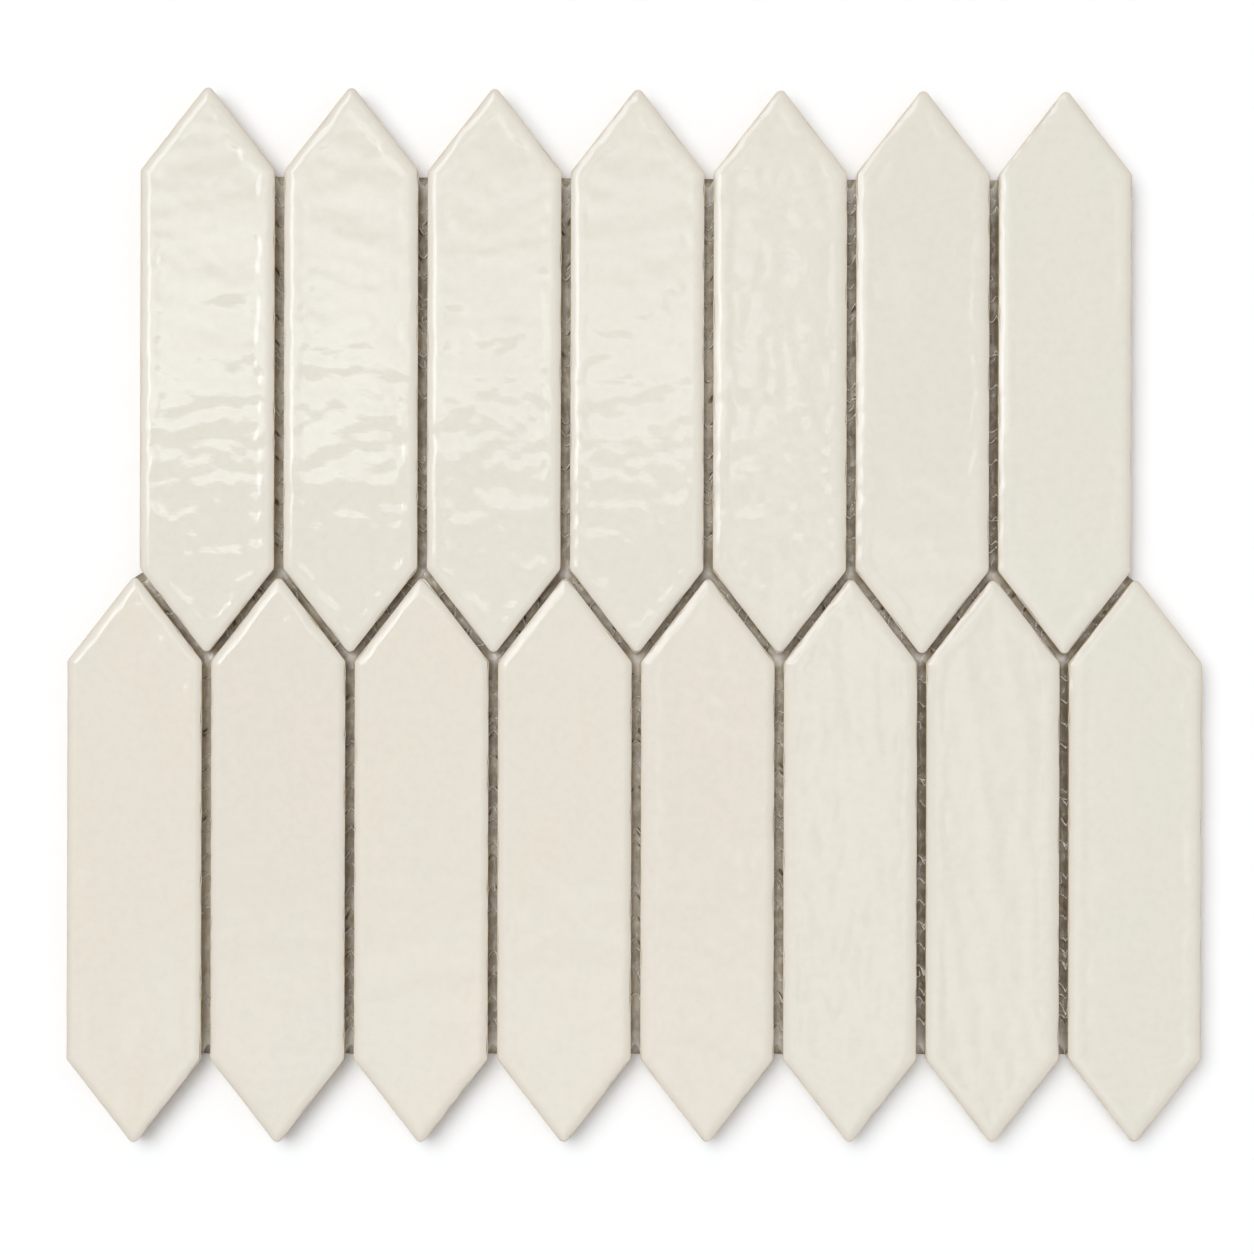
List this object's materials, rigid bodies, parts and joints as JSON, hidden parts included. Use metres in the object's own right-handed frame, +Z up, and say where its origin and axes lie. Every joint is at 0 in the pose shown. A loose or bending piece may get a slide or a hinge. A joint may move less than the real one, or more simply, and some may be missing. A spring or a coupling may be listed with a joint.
{
  "type": "picket mosaic tile sheet",
  "caption": "Mosaic sheet of long pointed glazed ceramic pickets, interlocked point to point on a coated glass-fibre mesh, with a zigzag top and bottom edge.",
  "frame": {"origin": "under the middle of the whole sheet, on the floor that its bedding side lies on", "axes": "+X along the rows, +Y along the pickets towards the shorter row, +Z up out of the glazed face"},
  "size_m": [0.3024, 0.2804, 0.0089],
  "materials": {
    "cream_glaze": "glossy cream glaze with a soft waviness",
    "adhesive_film": "cured taupe adhesive over glass-fibre mesh, satin"
  },
  "bodies": {
    "root": {"tile_upper_1": "cream_glaze", "tile_upper_2": "cream_glaze", "tile_upper_3": "cream_glaze", "tile_upper_4": "cream_glaze", "tile_upper_5": "cream_glaze", "tile_upper_6": "cream_glaze", "tile_upper_7": "cream_glaze", "tile_lower_1": "cream_glaze", "tile_lower_2": "cream_glaze", "tile_lower_3": "cream_glaze", "tile_lower_4": "cream_glaze", "tile_lower_5": "cream_glaze", "tile_lower_6": "cream_glaze", "tile_lower_7": "cream_glaze", "tile_lower_8": "cream_glaze", "mesh_backing": "adhesive_film"}
  },
  "joints": []
}
